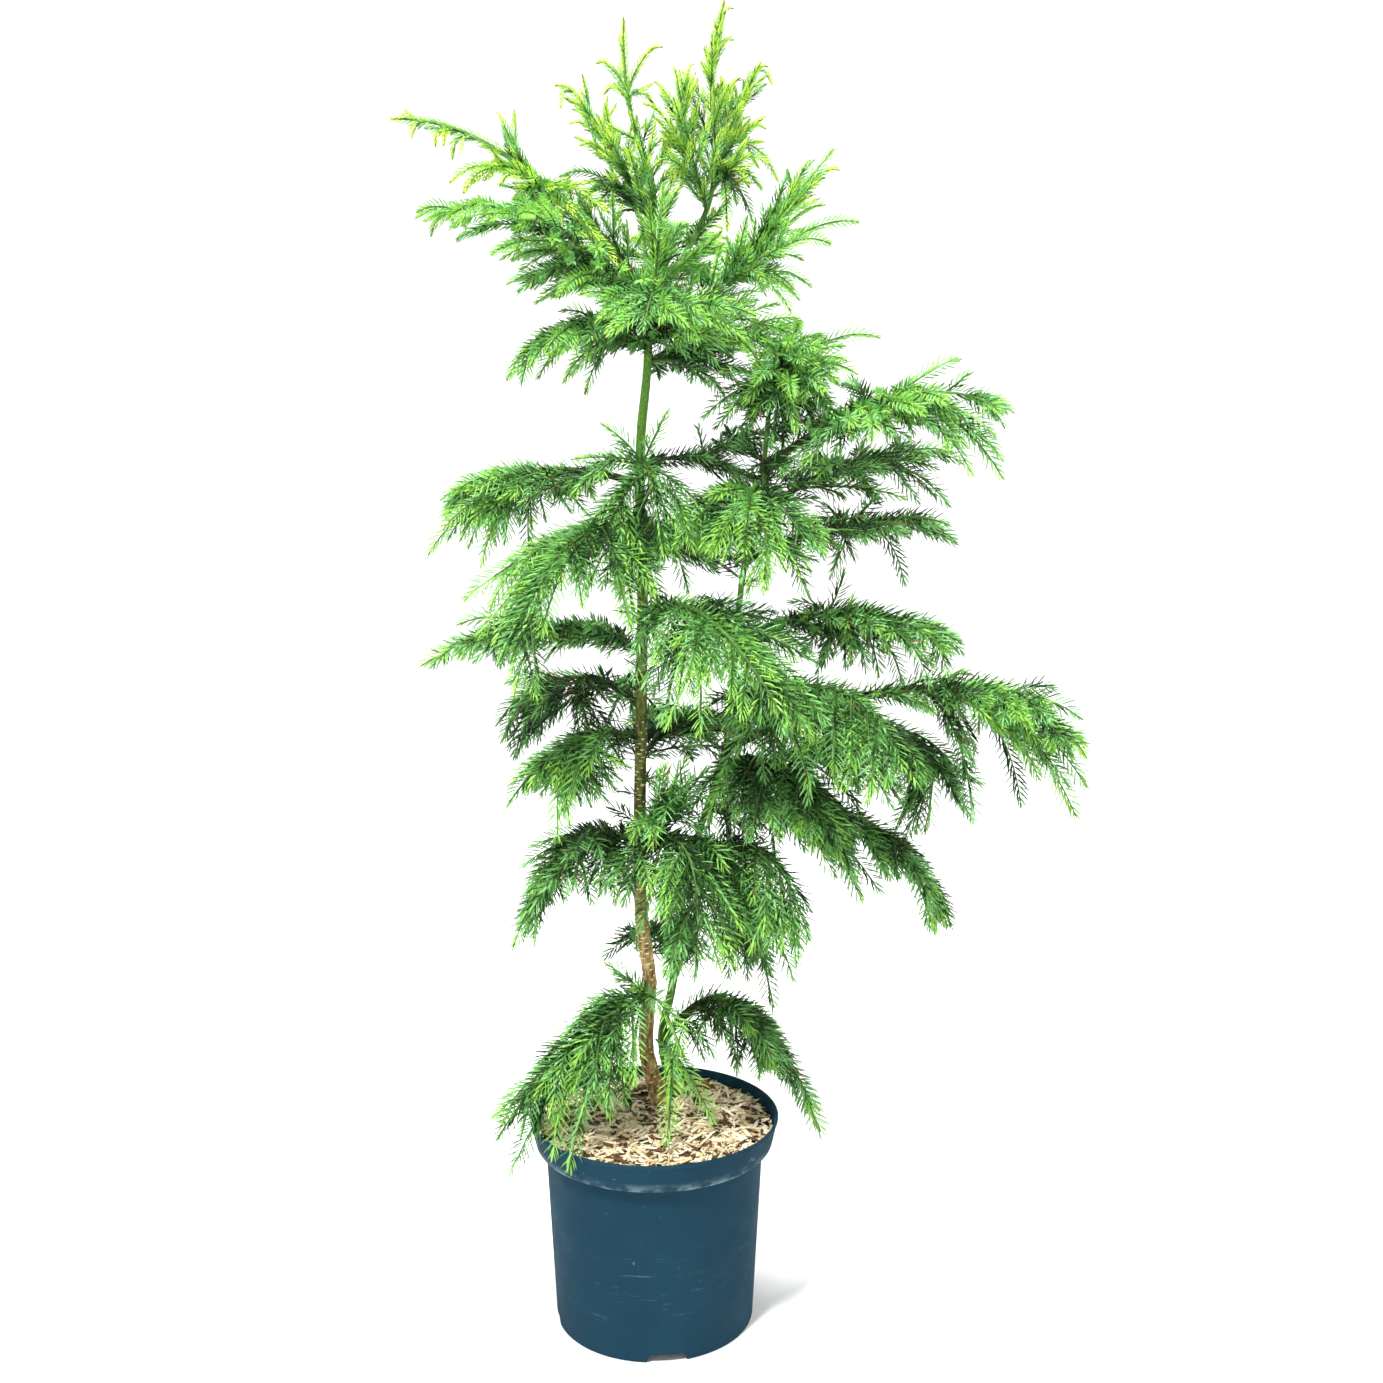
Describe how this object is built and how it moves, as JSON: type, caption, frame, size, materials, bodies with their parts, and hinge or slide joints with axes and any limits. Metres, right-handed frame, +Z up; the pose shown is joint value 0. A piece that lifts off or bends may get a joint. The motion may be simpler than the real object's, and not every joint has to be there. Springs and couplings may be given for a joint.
{
  "type": "potted japanese cedar",
  "caption": "Young golden-tipped conifer with a leaning second stem and weeping needle sprays, in a round nursery pot topped with wood mulch.",
  "frame": {"origin": "centre of the pot's flat underside, on the ground", "axes": "+Z up, +X to the right in the picture, +Y away from its camera"},
  "size_m": [0.757, 0.4937, 1.4536],
  "materials": {
    "pot": "satin moulded plastic, scuffed",
    "mulch": "loose shredded wood over dark compost",
    "bark": "flaky brown bark, green towards the top",
    "green_stem": "smooth green young bark",
    "bright_needles": "yellow-green young needles",
    "needles": "mid green needles",
    "deep_needles": "deeper green needles"
  },
  "bodies": {
    "root": {"bough_bottom_right": "green_stem", "bough_front_fan": "green_stem", "bough_left_dark": "green_stem", "bough_left_low": "green_stem", "bough_left_mid": "green_stem", "bough_right_far": "green_stem", "bough_right_far_up": "green_stem", "bough_right_high": "green_stem", "bough_right_level": "green_stem", "bough_right_mid": "green_stem", "bough_right_mid_low": "green_stem", "bough_upper_left": "green_stem", "co_leader": "green_stem", "pot": "pot", "second_stem": "green_stem", "soil": "mulch", "spray_back_mid": "needles", "spray_back_right": "needles", "spray_back_top": "needles", "spray_back_upper": "needles", "spray_bottom_back": "needles", "spray_bottom_front": "deep_needles", "spray_bottom_left": "deep_needles", "spray_bottom_right": "deep_needles", "spray_centre_hang": "deep_needles", "spray_co_leader_top": "bright_needles", "spray_fan_dark": "deep_needles", "spray_fan_far": "deep_needles", "spray_fan_high": "deep_needles", "spray_fan_low": "deep_needles", "spray_front_fan": "deep_needles", "spray_front_right": "deep_needles", "spray_front_ring": "needles", "spray_leader": "bright_needles", "spray_left_bottom": "deep_needles", "spray_left_dark": "deep_needles", "spray_left_front": "deep_needles", "spray_left_high": "needles", "spray_left_low": "deep_needles", "spray_left_mid": "needles", "spray_left_ring": "needles", "spray_left_thin": "needles", "spray_left_top": "bright_needles", "spray_mid_tuft": "deep_needles", "spray_pale_top": "bright_needles", "spray_right_crown": "needles", "spray_right_fan": "deep_needles", "spray_right_far": "needles", "spray_right_far_up": "needles", "spray_right_high": "bright_needles", "spray_right_level": "needles", "spray_right_mid": "needles", "spray_right_mid_low": "needles", "spray_right_ring": "needles", "spray_right_strand": "deep_needles", "spray_right_top": "bright_needles", "spray_upper_left": "bright_needles", "trunk": "bark"}
  },
  "joints": []
}
